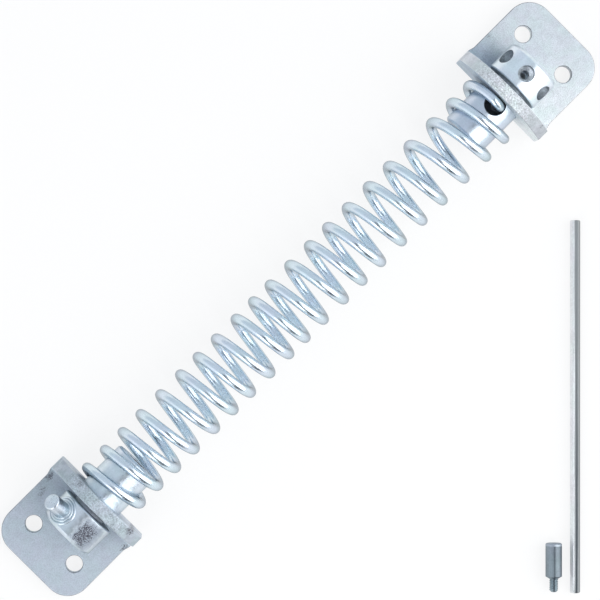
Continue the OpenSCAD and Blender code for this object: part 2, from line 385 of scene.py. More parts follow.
def product(tree, first, *others):
    for other in others:
        first = maths(tree, "MULTIPLY", first, other)
    return first


def parted(tree, vector):
    """The X, Y and Z outputs of a vector."""
    return node(tree, "ShaderNodeSeparateXYZ", {0: vector}).outputs


def ramp(tree, value, low, high, to_low=0.0, to_high=1.0):
    """A value carried smoothly from one range to another."""
    made = node(tree, "ShaderNodeMapRange", {"Value": value, "From Min": low, "From Max": high,
                                             "To Min": to_low, "To Max": to_high},
                interpolation_type="SMOOTHSTEP")
    return made.outputs["Result"]


def ramp_mm(tree, value, low, high, to_low=0.0, to_high=1.0):
    """A ramp between two lengths in millimetres."""
    return ramp(tree, value, low * MM, high * MM, to_low, to_high)


def ramp_degrees(tree, value, low, high):
    """A ramp between two angles in degrees."""
    return ramp(tree, value, radians(low), radians(high))


def mixed(tree, factor, first, second, blend="MIX"):
    """Two colours mixed, through the sockets of a mix node that hold colours."""
    made = node(tree, "ShaderNodeMix", {0: factor, 6: first, 7: second},
                data_type="RGBA", blend_type=blend)
    return made.outputs[2]


def noise(tree, vector, scale, detail=3.0, roughness=0.55, distortion=0.0):
    made = node(tree, "ShaderNodeTexNoise", {"Vector": vector, "Scale": scale, "Detail": detail,
                                             "Roughness": roughness, "Distortion": distortion})
    return made.outputs["Fac"]


# Shared effects of zinc plating
def make_plating_clouds():
    """Cloudy tone of plating: soft patches with a fine grain, drifting between lilac and sea green."""
    group, start, end = socket_group(
        "plating_clouds",
        {"Vector": "Vector", "Colour": "Color", "Patch Scale": "Float", "Grain Scale": "Float",
         "Patch Depth": "Float", "Grain Depth": "Float", "Tint": "Float"},
        {"Colour": "Color", "Tone": "Float", "Height": "Float"})
    given = start.outputs
    at = given["Vector"]
    patches = ramp(group, noise(group, at, given["Patch Scale"], 4.0, 0.6, 0.8), 0.30, 0.70)
    grain = ramp(group, noise(group, at, given["Grain Scale"], 3.0, 0.7), 0.30, 0.70)
    drift_scale = product(group, given["Patch Scale"], 0.63)
    drift = ramp(group, noise(group, at, drift_scale, 2.0), 0.32, 0.68)
    tone = 1.0
    for part, depth in ((patches, "Patch Depth"), (grain, "Grain Depth")):
        tone = maths(group, "MULTIPLY_ADD", maths(group, "SUBTRACT", part, 0.5), given[depth], tone)
    hue = mixed(group, drift, rgb(1.03, 0.98, 1.03), rgb(0.97, 1.02, 1.00))
    hue = mixed(group, given["Tint"], rgb(1, 1, 1), hue)
    shaded = node(group, "ShaderNodeVectorMath", {0: given["Colour"], "Scale": tone}, operation="SCALE")
    colour = mixed(group, 1.0, shaded.outputs[0], hue, "MULTIPLY")
    for label, value in (("Colour", colour), ("Tone", patches), ("Height", grain)):
        group.links.new(value, end.inputs[label])
    return group


def make_draw_lines():
    """Fine lines along one direction, as a die or a lathe tool leaves them."""
    group, start, end = socket_group(
        "draw_lines", {"Vector": "Vector", "Stretch": "Vector", "Scale": "Float"},
        {"Line": "Float", "Scratch": "Float"})
    along = vectors(group, "MULTIPLY", start.outputs["Vector"], start.outputs["Stretch"])[0]
    lines = noise(group, along, start.outputs["Scale"], 3.0, 0.6)
    group.links.new(lines, end.inputs["Line"])
    group.links.new(ramp(group, lines, 0.62, 0.72), end.inputs["Scratch"])
    return group


def make_pits():
    """Scattered dark pits and stains in the plating, denser where the amount is higher."""
    group, start, end = socket_group(
        "plating_pits", {"Vector": "Vector", "Scale": "Float", "Amount": "Float"}, {"Mask": "Float"})
    specks = noise(group, start.outputs["Vector"], start.outputs["Scale"], 3.0, 0.75, 0.3)
    least = maths(group, "SUBTRACT", 0.78, product(group, start.outputs["Amount"], 0.36))
    made = node(group, "ShaderNodeMapRange", {"Value": specks, "From Min": least,
                                              "From Max": maths(group, "ADD", least, 0.14)})
    group.links.new(made.outputs["Result"], end.inputs["Mask"])
    return group


plating_clouds = make_plating_clouds()
draw_lines = make_draw_lines()
plating_pits = make_pits()


def effect(tree, group, values):
    """The outputs of a shared effect placed in a material with its own values."""
    return node(tree, "ShaderNodeGroup", values, node_tree=group).outputs


def clouded(tree, vector, colour, scales, depths, tint):
    """Plating clouds over a colour, with the scales and depths of their patches and of their grain."""
    return effect(tree, plating_clouds, {
        "Vector": vector, "Colour": colour, "Patch Scale": scales[0], "Grain Scale": scales[1],
        "Patch Depth": depths[0], "Grain Depth": depths[1], "Tint": tint})


def lined(tree, vector, stretch, scale):
    return effect(tree, draw_lines, {"Vector": vector, "Stretch": stretch, "Scale": scale})


def pitted(tree, vector, scale, amount):
    values = {"Vector": vector, "Scale": scale, "Amount": amount}
    return effect(tree, plating_pits, values)["Mask"]


def new_metal(name, rim=1.0, bright=1.0):
    """A bare metal material, its tree and its object coordinates; a low rim dulls its grazing edges."""
    material = bpy.data.materials.new(name)
    material.use_nodes = True
    tree = material.node_tree
    shader = tree.nodes["Principled BSDF"]
    shader.inputs["Metallic"].default_value = bright
    shader.inputs["Specular Tint"].default_value = rgb(rim, rim, rim)
    return material, tree, tree.nodes.new("ShaderNodeTexCoord").outputs["Object"]


def surfaced(material, colour, rough, height, depth, strength):
    """A material with its colour, its roughness and its bump, whose depth is in millimetres."""
    tree = material.node_tree
    bump = node(tree, "ShaderNodeBump", {"Height": height, "Distance": depth * MM, "Strength": strength})
    values = {"Base Color": colour, "Roughness": rough, "Normal": bump.outputs["Normal"]}
    for label, value in values.items():
        tree.links.new(value, tree.nodes["Principled BSDF"].inputs[label])
    return material


# Finishes of the brackets
def smudges(tree, place, spots):
    """Dark handling marks in spots, each with its middle, its reach along X and Y and its strength."""
    amount = 0.10
    for x, y, along, across, strength in spots:
        off = vectors(tree, "SUBTRACT", place, (x * MM, y * MM, 0))[0]
        off = vectors(tree, "MULTIPLY", off, (1 / (along * MM), 1 / (across * MM), 0))[0]
        reach = vectors(tree, "LENGTH", off)["Value"]
        amount = maths(tree, "MULTIPLY_ADD", ramp(tree, reach, 1.0, 0.2), strength, amount)
    return product(tree, pitted(tree, place, 1700.0, amount), 0.85)


def plating_with_painted_light(tree, place, lug_x, colour, lit_colour, shadow_colour):
    """Plating with painted light beside the bend toward -Y, and painted shade beside it toward +Y, where
    the drum and the lug shade the plate.
    """
    at = parted(tree, place)
    off = maths(tree, "ABSOLUTE", maths(tree, "SUBTRACT", at["X"], lug_x * MM))
    # Painted shade beside the bend toward +Y, and painted light beside it toward -Y
    shade_share = product(tree, ramp_mm(tree, off, 21.0, 8.0), ramp_mm(tree, at["Y"], 1.0, 13.0))
    bright = product(tree, ramp_mm(tree, off, 42.0, 14.0), ramp_mm(tree, at["Y"], 6.0, -15.0))
    return mixed(tree, shade_share, mixed(tree, bright, colour, lit_colour), shadow_colour)


def bracket_face_material(name, colour, lit_colour, shadow_colour, lug_x, spots):
    """Rolled strip under satin zinc: cloudy, with a fine grain, a few handling marks, and painted light and
    shade beside its bend.
    """
    material, tree, place = new_metal(name)
    plating = plating_with_painted_light(tree, place, lug_x, colour, lit_colour, shadow_colour)
    clouds = clouded(tree, place, plating, scales=(260.0, 2000.0), depths=(0.10, 0.24), tint=0.45)
    tone = mixed(tree, smudges(tree, place, spots), clouds["Colour"], rgb(0.14, 0.14, 0.17))
    rough = ramp(tree, clouds["Tone"], 0.0, 1.0, 0.56, 0.46)
    return surfaced(material, tone, rough, clouds["Height"], depth=0.05, strength=0.6)


def sheared_edge_material(name, near_colour, far_colour, spots):
    """Sheared edge of the strip: torn over the lug's crown, and of another tone at its far end, +Y."""
    material, tree, place = new_metal(name)
    tears = lined(tree, place, stretch=(0.30, 1.0, 1.0), scale=1500.0)
    at = parted(tree, place)
    torn = ramp_mm(tree, maths(tree, "ABSOLUTE", at["Y"]), 16.5, 11.0)
    colour = mixed(tree, ramp_mm(tree, at["Y"], -15.0, 3.0), near_colour, far_colour)
    ragged = maths(tree, "MULTIPLY_ADD", torn, 0.44, 0.10)
    clouds = clouded(tree, place, colour, scales=(240.0, 1800.0), depths=(0.16, ragged), tint=0.6)
    tone = mixed(tree, smudges(tree, place, spots), clouds["Colour"], rgb(0.12, 0.12, 0.14))
    rough = ramp(tree, clouds["Tone"], 0.0, 1.0, 0.70, 0.58)
    return surfaced(material, tone, rough, product(tree, tears["Line"], torn), depth=0.4, strength=0.9)


def rolled_rim_material(name, colour):
    """Rounded rim of a plate, painted darker than its face as painted shade along its rolled edge."""
    material, tree, place = new_metal(name)
    clouds = clouded(tree, place, colour, scales=(300.0, 1500.0), depths=(0.4, 0.4), tint=0.3)
    rough = ramp(tree, clouds["Tone"], 0.0, 1.0, 0.60, 0.45)
    return surfaced(material, clouds["Colour"], rough, clouds["Height"], depth=0.05, strength=0.5)


# Finishes of the hubs
def stained_patch(tree, place, at, tone, rough, uneven):
    """A dull, pitted patch on one side of the lower drum, laid over its tone, roughness and bump."""
    across = product(tree, at["Y"], -1.0)
    height = maths(tree, "SUBTRACT", at["Z"], AXIS_Z * MM)
    wander = maths(tree, "SUBTRACT", noise(tree, place, 330.0, 3.0, 0.6), 0.5)
    angle = maths(tree, "MULTIPLY_ADD", wander, 0.55, maths(tree, "ARCTAN2", across, height))
    along = maths(tree, "MULTIPLY_ADD", wander, 3.0 * MM, at["X"])
    dull = product(tree, ramp_degrees(tree, angle, 2, 11), ramp_degrees(tree, angle, 70, 46),
                   ramp_mm(tree, along, LOWER_DRUM_X - 0.2, LOWER_DRUM_X - 1.6),
                   ramp_mm(tree, along, LOWER_DRUM_X - 12.4, LOWER_DRUM_X - 10.6))
    core = product(tree, ramp_degrees(tree, angle, 4, 13), ramp_degrees(tree, angle, 62, 30),
                   ramp_mm(tree, along, LOWER_DRUM_X + 1.0, LOWER_DRUM_X - 4.0), dull)
    stains = pitted(tree, place, 2300.0, maths(tree, "MULTIPLY_ADD", core, 0.86, 0.20))
    stains = product(tree, stains, ramp(tree, dull, 0.05, 0.3))
    tone = mixed(tree, product(tree, dull, 0.85), tone, rgb(0.38, 0.43, 0.50))
    tone = mixed(tree, stains, tone, rgb(0.07, 0.07, 0.09))
    rough = maths(tree, "MULTIPLY_ADD", dull, 0.20, rough)
    pocks = product(tree, noise(tree, place, 2300.0, 2.0, 0.6), dull)
    return tone, rough, maths(tree, "MULTIPLY_ADD", pocks, 3.5, uneven)


def hub_material(name, drum_colour, shank_colour, drum_x, shank_side, mottle, stained):
    """Turned bar under bright zinc: faint tool rings, a mottled gloss, and on one drum a stained patch."""
    material, tree, place = new_metal(name, rim=0.6)
    at = parted(tree, place)
    on_shank = ramp_mm(tree, at["X"], drum_x, drum_x + shank_side)
    colour = mixed(tree, on_shank, drum_colour, shank_colour)
    rings = lined(tree, place, stretch=(1.0, 0.05, 0.05), scale=2400.0)
    clouds = clouded(tree, place, colour, scales=(190.0, 1700.0), depths=(0.10, 0.10), tint=0.5)
    blotches = noise(tree, place, 620.0, 3.0, 0.6)
    tone = clouds["Colour"]
    rough = ramp(tree, blotches, 0.35, 0.65, 0.34 + 0.05 * mottle, 0.28)
    uneven = maths(tree, "MULTIPLY_ADD", clouds["Height"], 0.6, rings["Line"])
    uneven = maths(tree, "MULTIPLY_ADD", blotches, 2.2 * mottle, uneven)
    if stained:
        tone, rough, uneven = stained_patch(tree, place, at, tone, rough, uneven)
    return surfaced(material, tone, rough, uneven, depth=0.03, strength=0.6)


def drilled_steel_material(name, colour, rough, bright):
    """Walls of drilled holes and grooves, dull where less zinc reaches; the groove's and the hook hole's
    darker colours are painted shade of those recesses.
    """
    material, tree, place = new_metal(name, bright=bright)
    clouds = clouded(tree, place, colour, scales=(300.0, 1800.0), depths=(0.4, 0.3), tint=0.4)
    rough = ramp(tree, clouds["Tone"], 0.0, 1.0, rough + 0.07, rough - 0.07)
    return surfaced(material, clouds["Colour"], rough, clouds["Height"], depth=0.04, strength=0.6)


# Finishes of the spring, the pins and the rod
def wire_material(name, colour, scored):
    """Drawn spring wire under bright zinc, with its die lines along the wire."""
    material, tree, _ = new_metal(name, rim=0.52)
    grain = node(tree, "ShaderNodeAttribute", attribute_name="wire_grain").outputs["Vector"]
    lines = lined(tree, grain, stretch=(0.02, 1.0, 1.0), scale=1500.0)
    clouds = clouded(tree, grain, colour, scales=(160.0, 1200.0), depths=(0.08, 0.06), tint=0.6)
    tone = mixed(tree, product(tree, lines["Scratch"], 0.30), clouds["Colour"], scored)
    rough = ramp(tree, clouds["Tone"], 0.0, 1.0, 0.29, 0.22)
    return surfaced(material, tone, rough, lines["Line"], depth=0.04, strength=0.5)


def laid_colour(tree, along, colour, scored, laid):
    """The colour of a pin on its side: a half in painted shade, a stub of its own tone, a painted
    reflection line along its top, a painted highlight on its end.
    """
    at = parted(tree, along)
    shoulder = laid["shoulder"]
    aside = maths(tree, "SUBTRACT", at["Y"], laid["middle"] * MM)
    # Painted shade over one half of the pin
    colour = mixed(tree, ramp_mm(tree, aside, 0.5, -0.5), colour, laid["shaded_half_colour"])
    on_stub = ramp_mm(tree, at["X"], shoulder, shoulder - 1.2)
    colour = mixed(tree, on_stub, colour, laid["stub_colour"])
    # A dark painted reflection line along the pin's top
    painted_reflection_line = ramp_mm(tree, maths(tree, "ABSOLUTE", aside), 0.5, 0.2)
    colour = mixed(tree, product(tree, painted_reflection_line, 0.8), colour, scored)
    # A painted highlight on the pin's end
    brink = shoulder + PIN_BODY - 1.1
    on_end = ramp_mm(tree, at["X"], brink - 0.1, brink + 0.1)
    return mixed(tree, on_end, colour, laid["highlight_end_colour"])


def pin_material(name, colour, scored, rough, turn, laid=None):
    """Drawn pin under zinc, brushed along its length."""
    material, tree, place = new_metal(name, rim=0.5)
    along = node(tree, "ShaderNodeMapping", {"Vector": place, "Rotation": turn}).outputs[0]
    lines = lined(tree, along, stretch=(0.03, 1.0, 1.0), scale=1500.0)
    if laid:
        colour = laid_colour(tree, along, colour, scored, laid)
    clouds = clouded(tree, place, colour, scales=(220.0, 1500.0), depths=(0.16, 0.16), tint=0.5)
    tone = mixed(tree, product(tree, lines["Scratch"], 0.7), clouds["Colour"], scored)
    rough = ramp(tree, lines["Line"], 0.3, 0.7, rough + 0.06, rough - 0.06)
    return surfaced(material, tone, rough, lines["Line"], depth=0.05, strength=0.5)


def rod_material(name, colour, reflection_stripe_colour, scratch_and_shade_grey, turn):
    """Drawn hexagonal stock: one side bright, one side grey as painted shade, and between them a dark
    painted reflection stripe that fades along it.
    """
    material, tree, place = new_metal(name)
    along = node(tree, "ShaderNodeMapping", {"Vector": place, "Rotation": turn}).outputs[0]
    lines = lined(tree, along, stretch=(0.02, 1.0, 1.0), scale=1500.0)
    clouds = clouded(tree, place, colour, scales=(220.0, 1500.0), depths=(0.10, 0.12), tint=0.4)
    at = parted(tree, along)
    aside = maths(tree, "SUBTRACT", ROD_ACROSS * MM, at["Y"])
    wander = maths(tree, "SUBTRACT", lines["Line"], 0.5)
    aside = maths(tree, "MULTIPLY_ADD", wander, 0.6 * MM, aside)
    tone = mixed(tree, product(tree, lines["Scratch"], 0.5), clouds["Colour"], scratch_and_shade_grey)
    # Painted shade: one side of the rod grey
    tone = mixed(tree, ramp_mm(tree, aside, -0.50, -0.30), tone, scratch_and_shade_grey)
    # Painted reflection: a dark stripe beside the grey side, fading along the rod
    painted_stripe = product(tree, ramp_mm(tree, aside, -0.02, 0.22), ramp_mm(tree, aside, 0.95, 0.75),
                     ramp_mm(tree, at["X"], ROD_FAR, ROD_NEAR, 1.0, 0.12))
    tone = mixed(tree, painted_stripe, tone, reflection_stripe_colour)
    rough = ramp(tree, lines["Line"], 0.3, 0.7, 0.50, 0.38)
    return surfaced(material, tone, rough, lines["Line"], depth=0.05, strength=0.5)


lower_spots = ((17.0, 19.3, 3.8, 2.4, 1.02), (11.0, 17.4, 5.0, 2.8, 0.82), (17.5, -19.8, 3.8, 2.2, 0.98),
               (25.3, -15.9, 3.4, 3.0, 0.98), (25.0, 9.6, 2.2, 1.9, 0.86))
upper_spots = ((241.0, -17.9, 1.8, 1.4, 0.75), (254.0, 19.6, 2.6, 1.2, 0.60))
# Each bracket's lit and shadow colours paint light and shade beside its bend
lower_face_zinc = bracket_face_material(
    "lower_bracket_zinc", colour=rgb(0.55, 0.61, 0.67), lit_colour=rgb(0.55, 0.61, 0.67),
    shadow_colour=rgb(0.47, 0.53, 0.58), lug_x=LUG_FACE_X, spots=lower_spots)
upper_face_zinc = bracket_face_material(
    "upper_bracket_zinc", colour=rgb(0.64, 0.69, 0.72), lit_colour=rgb(0.775, 0.825, 0.835),
    shadow_colour=rgb(0.45, 0.53, 0.60), lug_x=UPPER_LUG_X, spots=upper_spots)
lower_edge_zinc = sheared_edge_material(
    "lower_sheared_zinc", rgb(0.49, 0.55, 0.59), rgb(0.49, 0.55, 0.59), lower_spots)
upper_edge_zinc = sheared_edge_material(
    "upper_sheared_zinc", rgb(0.50, 0.535, 0.555), rgb(0.72, 0.76, 0.77), upper_spots)
# The rims' dark colour is painted shade along the plates' rolled edges
rim_painted_shade = rolled_rim_material("plate_rim_painted_shade", rgb(0.28, 0.30, 0.33))
lower_hub_zinc = hub_material(
    "lower_hub_zinc", drum_colour=rgb(0.68, 0.76, 0.81), shank_colour=rgb(0.71, 0.80, 0.86),
    drum_x=LOWER_DRUM_X, shank_side=1, mottle=1.0, stained=True)
upper_hub_zinc = hub_material(
    "upper_hub_zinc", drum_colour=rgb(0.80, 0.88, 0.94), shank_colour=rgb(0.64, 0.72, 0.81),
    drum_x=UPPER_DRUM_X, shank_side=-1, mottle=0.3, stained=False)
# Hole wall finishes: the groove's and the hook hole's darker colours are painted shade of those recesses
hole_walls_painted_shade = [
    drilled_steel_material("drum_hole_steel", rgb(0.68, 0.72, 0.75), rough=0.40, bright=1.0),
    drilled_steel_material("groove_painted_shade", rgb(0.40, 0.44, 0.48), rough=0.60, bright=0.7),
    drilled_steel_material("hook_hole_painted_shade", rgb(0.24, 0.26, 0.29), rough=0.80, bright=0.2),
]
wire_zinc = wire_material("spring_wire_zinc", rgb(0.70, 0.80, 0.87), scored=rgb(0.40, 0.47, 0.52))
stop_pin_zinc = pin_material(
    "stop_pin_zinc", rgb(0.70, 0.78, 0.83), scored=rgb(0.48, 0.54, 0.58), rough=0.32, turn=STOP_PIN_TURN)
# The lock pin's shaded half, reflection line and end highlight are painted light and shade
lock_pin_zinc = pin_material(
    "lock_pin_zinc", rgb(0.28, 0.325, 0.36), scored=rgb(0.10, 0.12, 0.14), rough=0.48, turn=LAID_TURN,
    laid={"middle": ROD_ACROSS - LOCK_PIN_ASIDE, "shoulder": ROD_NEAR - LOCK_PIN_ALONG,
          "shaded_half_colour": rgb(0.19, 0.225, 0.25), "stub_colour": rgb(0.34, 0.40, 0.44),
          "highlight_end_colour": rgb(0.40, 0.45, 0.50)})
# The rod's grey side and dark stripe are painted shade and a painted reflection
rod_zinc = rod_material(
    "hex_rod_zinc", rgb(0.78, 0.80, 0.81), reflection_stripe_colour=rgb(0.07, 0.08, 0.09),
    scratch_and_shade_grey=rgb(0.28, 0.30, 0.31), turn=LAID_TURN)


# Brackets, cut flat and then bent
def flat_bracket():
    """The strip cut out flat, with its holes, its rolled edges and its finishes."""
    crown = LUG_START + LUG_CROWN - LUG_BASE
    arch_radius = (LUG_HALF_WIDTH ** 2 + ARCH_RISE ** 2) / (2 * ARCH_RISE)
    half = PLATE_WIDTH / 2
    bm = bmesh.new()
    _, corner, _, _, shoulder = polyline(bm, [
        (bracket_low.x, 0, 0), (bracket_low.x, half, 0), (BEND_START - BULGE_RUN, half, 0),
        (BEND_START, LUG_HALF_WIDTH, 0), (crown - ARCH_RISE, LUG_HALF_WIDTH, 0)])
    bmesh.ops.spin(bm, geom=[shoulder], cent=(crown - arch_radius, 0, 0), axis=(0, 0, -1),
                   angle=asin(LUG_HALF_WIDTH / arch_radius), steps=40)
    rounded(bm, [corner], CORNER_RADIUS, 20, "VERTICES")
    bmesh.ops.mirror(bm, geom=everything(bm), matrix=Matrix.Identity(4), merge_dist=MERGE, axis="Y")
    bmesh.ops.remove_doubles(bm, verts=bm.verts, dist=MERGE)
    for side in (-1, 1):
        bmesh.ops.create_circle(bm, segments=56, radius=SCREW_HOLE_RADIUS,
                                matrix=moved(0, side * SCREW_SPACING / 2, 0))
    bmesh.ops.create_circle(bm, segments=112, radius=LUG_HOLE_RADIUS,
                            matrix=moved(LUG_START + AXIS_Z - LUG_BASE, 0, 0))
    bmesh.ops.triangle_fill(bm, use_beauty=True, edges=bm.edges[:], normal=(0, 0, 1))
    thickened(bm, STRIP)
    outward(bm)
    for face in bm.faces:
        if abs(face.normal.z) < 0.5:
            face.material_index = EDGE
    for height, roll in ((0, BACK_ROLL), (STRIP, FRONT_ROLL)):
        rim = [e for e in bm.edges if all(abs(v.co.z - height) < FINE_MERGE for v in e.verts)
               and e.calc_face_angle() > ROLLED_CORNER]
        rounded(bm, rim, roll, 3, "EDGES", clamp=True)
    for face in bm.faces:
        if 0.1 < face.normal.z < 0.95 and face.calc_center_median().x < BEND_START:
            face.material_index = RIM
    return bm


def bent_bracket():
    """The flat strip with its lug bent up."""
    bm = flat_bracket()
    for step in range(BEND_CUTS + 1):
        bmesh.ops.bisect_plane(bm, geom=everything(bm), dist=CUT_REACH, plane_no=(1, 0, 0),
                               plane_co=(BEND_START + BEND_RUN * step / BEND_CUTS, 0, 0))
    for vert in bm.verts:
        along, across, depth = vert.co
        if along > BEND_START:
            turn = min((along - BEND_START) / BEND_RUN, 1) * QUARTER
            radius = BEND_RADIUS + STRIP - depth
            rise = max(along - LUG_START, 0)
            vert.co = (BEND_START + radius * sin(turn), across,
                       LUG_BASE - radius * cos(turn) + rise)
    return outward(bm)


# Hubs, turned and then drilled
def hub_blank():
    """A turned hub with the walls of its groove and of its bore set to their own finish."""
    tip = HUB_END_WALL - DRUM_LENGTH
    bm = turned([
        (0, -DRUM_LENGTH), (DRUM_RADIUS - DRUM_END_CHAMFER, -DRUM_LENGTH),
        (DRUM_RADIUS, DRUM_END_CHAMFER - DRUM_LENGTH), (DRUM_RADIUS, -DRUM_INNER_CHAMFER),
        (DRUM_RADIUS - DRUM_INNER_CHAMFER, 0), (RELIEF_RADIUS, 0),
        (RELIEF_RADIUS, RELIEF_WIDTH - RELIEF_CHAMFER), (SHANK_RADIUS - RELIEF_CHAMFER, RELIEF_WIDTH),
        (SHANK_RADIUS, RELIEF_WIDTH + RELIEF_CHAMFER), (SHANK_RADIUS, SHANK_LENGTH - SHANK_CHAMFER),
        (SHANK_RADIUS - SHANK_CHAMFER, SHANK_LENGTH), (HUB_BORE_RADIUS, SHANK_LENGTH),
        (HUB_BORE_RADIUS, 0), (HUB_BORE_RADIUS, tip + HUB_BORE_RADIUS / DRILL_SLOPE), (0, tip),
    ], steps=224, rounding=HUB_ROUNDING)
    # The groove and the bore take the darker finishes, painted shade of those recesses
    groove_rim = DRUM_RADIUS - DRUM_INNER_CHAMFER - WALL_MARGIN
    for face in bm.faces:
        middle = face.calc_center_median()
        radius = middle.xy.length
        if -WALL_MARGIN < middle.z < RELIEF_WIDTH and radius < groove_rim:
            face.material_index = GROOVE
        elif 0 < middle.z < SHANK_LENGTH - HUB_BORE_LIP and radius < HUB_BORE_RADIUS + WALL_MARGIN:
            face.material_index = HOOK_HOLE
    return bm


def drum_drill(lean):
    """Cutter for one drum hole: a drilled seat with a tapped centre, leaning from +X round the hub."""
    tapped = STUB_RADIUS + TAP_ROOM
    seat = DRUM_RADIUS - DRUM_HOLE_DEPTH
    cone = seat - (DRUM_HOLE_RADIUS - tapped) / DRILL_SLOPE
    floor = sqrt(HUB_BORE_RADIUS ** 2 - tapped ** 2) - TAP_OVERRUN
    top = DRUM_RADIUS + OVERCUT
    threads = []
    height = cone - TAP_LEAD
    while height - THREAD_PITCH > floor + TAP_LEAD:
        threads += [(tapped, height), (tapped - THREAD_DEPTH, height - THREAD_PITCH / 2)]
        height -= THREAD_PITCH
    bm = turned([(0, floor), (tapped - THREAD_DEPTH, floor), *reversed(threads), (tapped, cone),
                 (DRUM_HOLE_RADIUS, seat), (DRUM_HOLE_RADIUS, top), (0, top)], DRILL_STEPS)
    to_drum = moved(0, 0, -DRUM_LENGTH / 2)
    bm.transform(Matrix.Rotation(lean, 4, "Z") @ to_drum @ along_x)
    return painted(bm, DRUM_HOLE)


def hook_drill():
    """Cutter for the cross hole that takes the spring's hook."""
    top = SHANK_RADIUS + OVERCUT
    bm = turned([(0, 0), (HOOK_HOLE_RADIUS, 0), (HOOK_HOLE_RADIUS, top), (0, top)], DRILL_STEPS)
    bm.transform(moved(0, 0, HOOK_HOLE_X) @ along_x)
    return painted(bm, HOOK_HOLE)


def drilled_hub(leans):
    """A hub along +Z with its hook hole toward +X and its drum holes at the given leans."""
    drills = gathered([hook_drill()] + [drum_drill(lean) for lean in leans])
    return combined(hub_blank(), drills, "DIFFERENCE")


# Pins with cut threads
def thread_bar(length):
    """A threaded bar up along +Z from the origin, wound longer and cut off square."""
    root, crest = STUB_RADIUS - THREAD_DEPTH, STUB_RADIUS
    flank = ((root, 0), (root, 0.12), (crest, 0.47), (crest, 0.60), (root, 1))
    turns = ceil(length / THREAD_PITCH) + THREAD_SPARE_TURNS
    bm = bmesh.new()
    polyline(bm, [(radius, 0, THREAD_PITCH * share) for radius, share in flank])
    bmesh.ops.spin(bm, geom=everything(bm), cent=(0, 0, 0), axis=(0, 0, 1),
                   dvec=(0, 0, THREAD_PITCH / THREAD_STEPS), angle=TURN * turns, steps=THREAD_STEPS * turns)
    bmesh.ops.remove_doubles(bm, verts=bm.verts, dist=FINE_MERGE)
    bmesh.ops.translate(bm, vec=(0, 0, -THREAD_SPARE_TURNS / 2 * THREAD_PITCH), verts=bm.verts)
    for height, sign in ((0, -1), (length, 1)):
        bmesh.ops.bisect_plane(bm, geom=everything(bm), plane_co=(0, 0, height),
                               plane_no=(0, 0, sign), clear_outer=True)
    bmesh.ops.holes_fill(bm, edges=[e for e in bm.edges if e.is_boundary], sides=0)
    return outward(bm)


def threaded_pin():
    """A pin along +Z with the edge of its bevelled shoulder at the origin."""
    bevel = (PIN_RADIUS - STUB_RADIUS) / DRILL_SLOPE
    end = -bevel - STUB_LENGTH
    neck, root = -bevel - 2 * STUB_OVERLAP, STUB_RADIUS - THREAD_DEPTH
    body = turned([(0, neck), (root, neck), (STUB_RADIUS, -bevel), (PIN_RADIUS, 0),
                   (PIN_RADIUS, PIN_BODY - PIN_CHAMFER), (PIN_RADIUS - PIN_CHAMFER, PIN_BODY),
                   (0, PIN_BODY)], steps=112, rounding=PIN_ROUNDING)
    bar = thread_bar(STUB_LENGTH + STUB_SPARE)
    bmesh.ops.translate(bar, vec=(0, 0, end - THREAD_PITCH), verts=bar.verts)
    crest, top = STUB_RADIUS + CREST_ROOM, -bevel + STUB_OVERLAP
    limit = turned([(0, end), (STUB_RADIUS - STUB_CHAMFER, end), (crest, end + STUB_CHAMFER),
                    (crest, top), (0, top)], THREAD_STEPS)
    return combined(body, combined(bar, limit, "INTERSECT"), "UNION")


# Bars swept along a path
def ringed_bar(last, radius, sides, capped):
    """A straight round bar along +Z with rings of corners at each millimetre up to the last."""
    bm = bmesh.new()
    bmesh.ops.create_cone(bm, cap_ends=capped, segments=sides, radius1=radius, radius2=radius,
                          depth=last, matrix=moved(0, 0, last / 2))
    long_edges = [e for e in bm.edges if e.calc_length() > last / 2]
    bmesh.ops.subdivide_edges(bm, edges=long_edges, cuts=last - 1, use_grid_fill=True)
    return bm


def square_places(path, side):
    """The places of rings set square to a path, with one axis of each kept toward the side."""
    places = []
    for i, point in enumerate(path):
        tangent = (path[min(i + 1, len(path) - 1)] - path[max(i - 1, 0)]).normalized()
        aside = (side - side.dot(tangent) * tangent).normalized()
        turn = Matrix((aside.cross(tangent), aside, tangent)).transposed().to_4x4()
        places.append(Matrix.Translation(point) @ turn)
    return places


def set_rings(bm, places):
    """Each ring of a straight bar moved to its own place along the path."""
    for vert in bm.verts:
        vert.co = places[round(vert.co.z)] @ Vector((vert.co.x, vert.co.y, 0))


def peened_bead(ring_radius, bead_radius):
    """A raised bead where the drum's metal is closed round the stop pin, along the pin's +Z."""
    upright = Vector((0, 0, 1))
    path = []
    for i in range(BEAD_STEPS + 1):
        angle = TURN * i / BEAD_STEPS
        x, y = ring_radius * cos(angle), ring_radius * sin(angle)
        path.append(Vector((x, y, sqrt(DRUM_RADIUS ** 2 - y * y) - BEAD_SINK)))
    places = square_places(path, upright)
    places[0] = places[-1] = square_places([path[-2], path[0], path[1]], upright)[1]
    bm = ringed_bar(BEAD_STEPS, bead_radius, BEAD_SIDES, capped=False)
    set_rings(bm, places)
    bmesh.ops.remove_doubles(bm, verts=bm.verts, dist=MERGE)
    return outward(bm)


# Hexagonal rod with softened corners
def hex_rod():
    bm = bmesh.new()
    bmesh.ops.create_circle(bm, segments=6, radius=ROD_FLATS / 2 / cos(radians(30)),
                            cap_ends=True)
    thickened(bm, ROD_LENGTH)
    long_edges = [e for e in bm.edges if e.calc_length() > ROD_LENGTH / 2]
    rounded(bm, long_edges, ROD_CORNER_ROUNDING, 4, "EDGES")
    rims = [e for e in bm.edges if e.calc_length() < ROD_LENGTH / 2]
    rounded(bm, rims, ROD_END_CHAMFER, 2, "EDGES")
    return outward(bm)


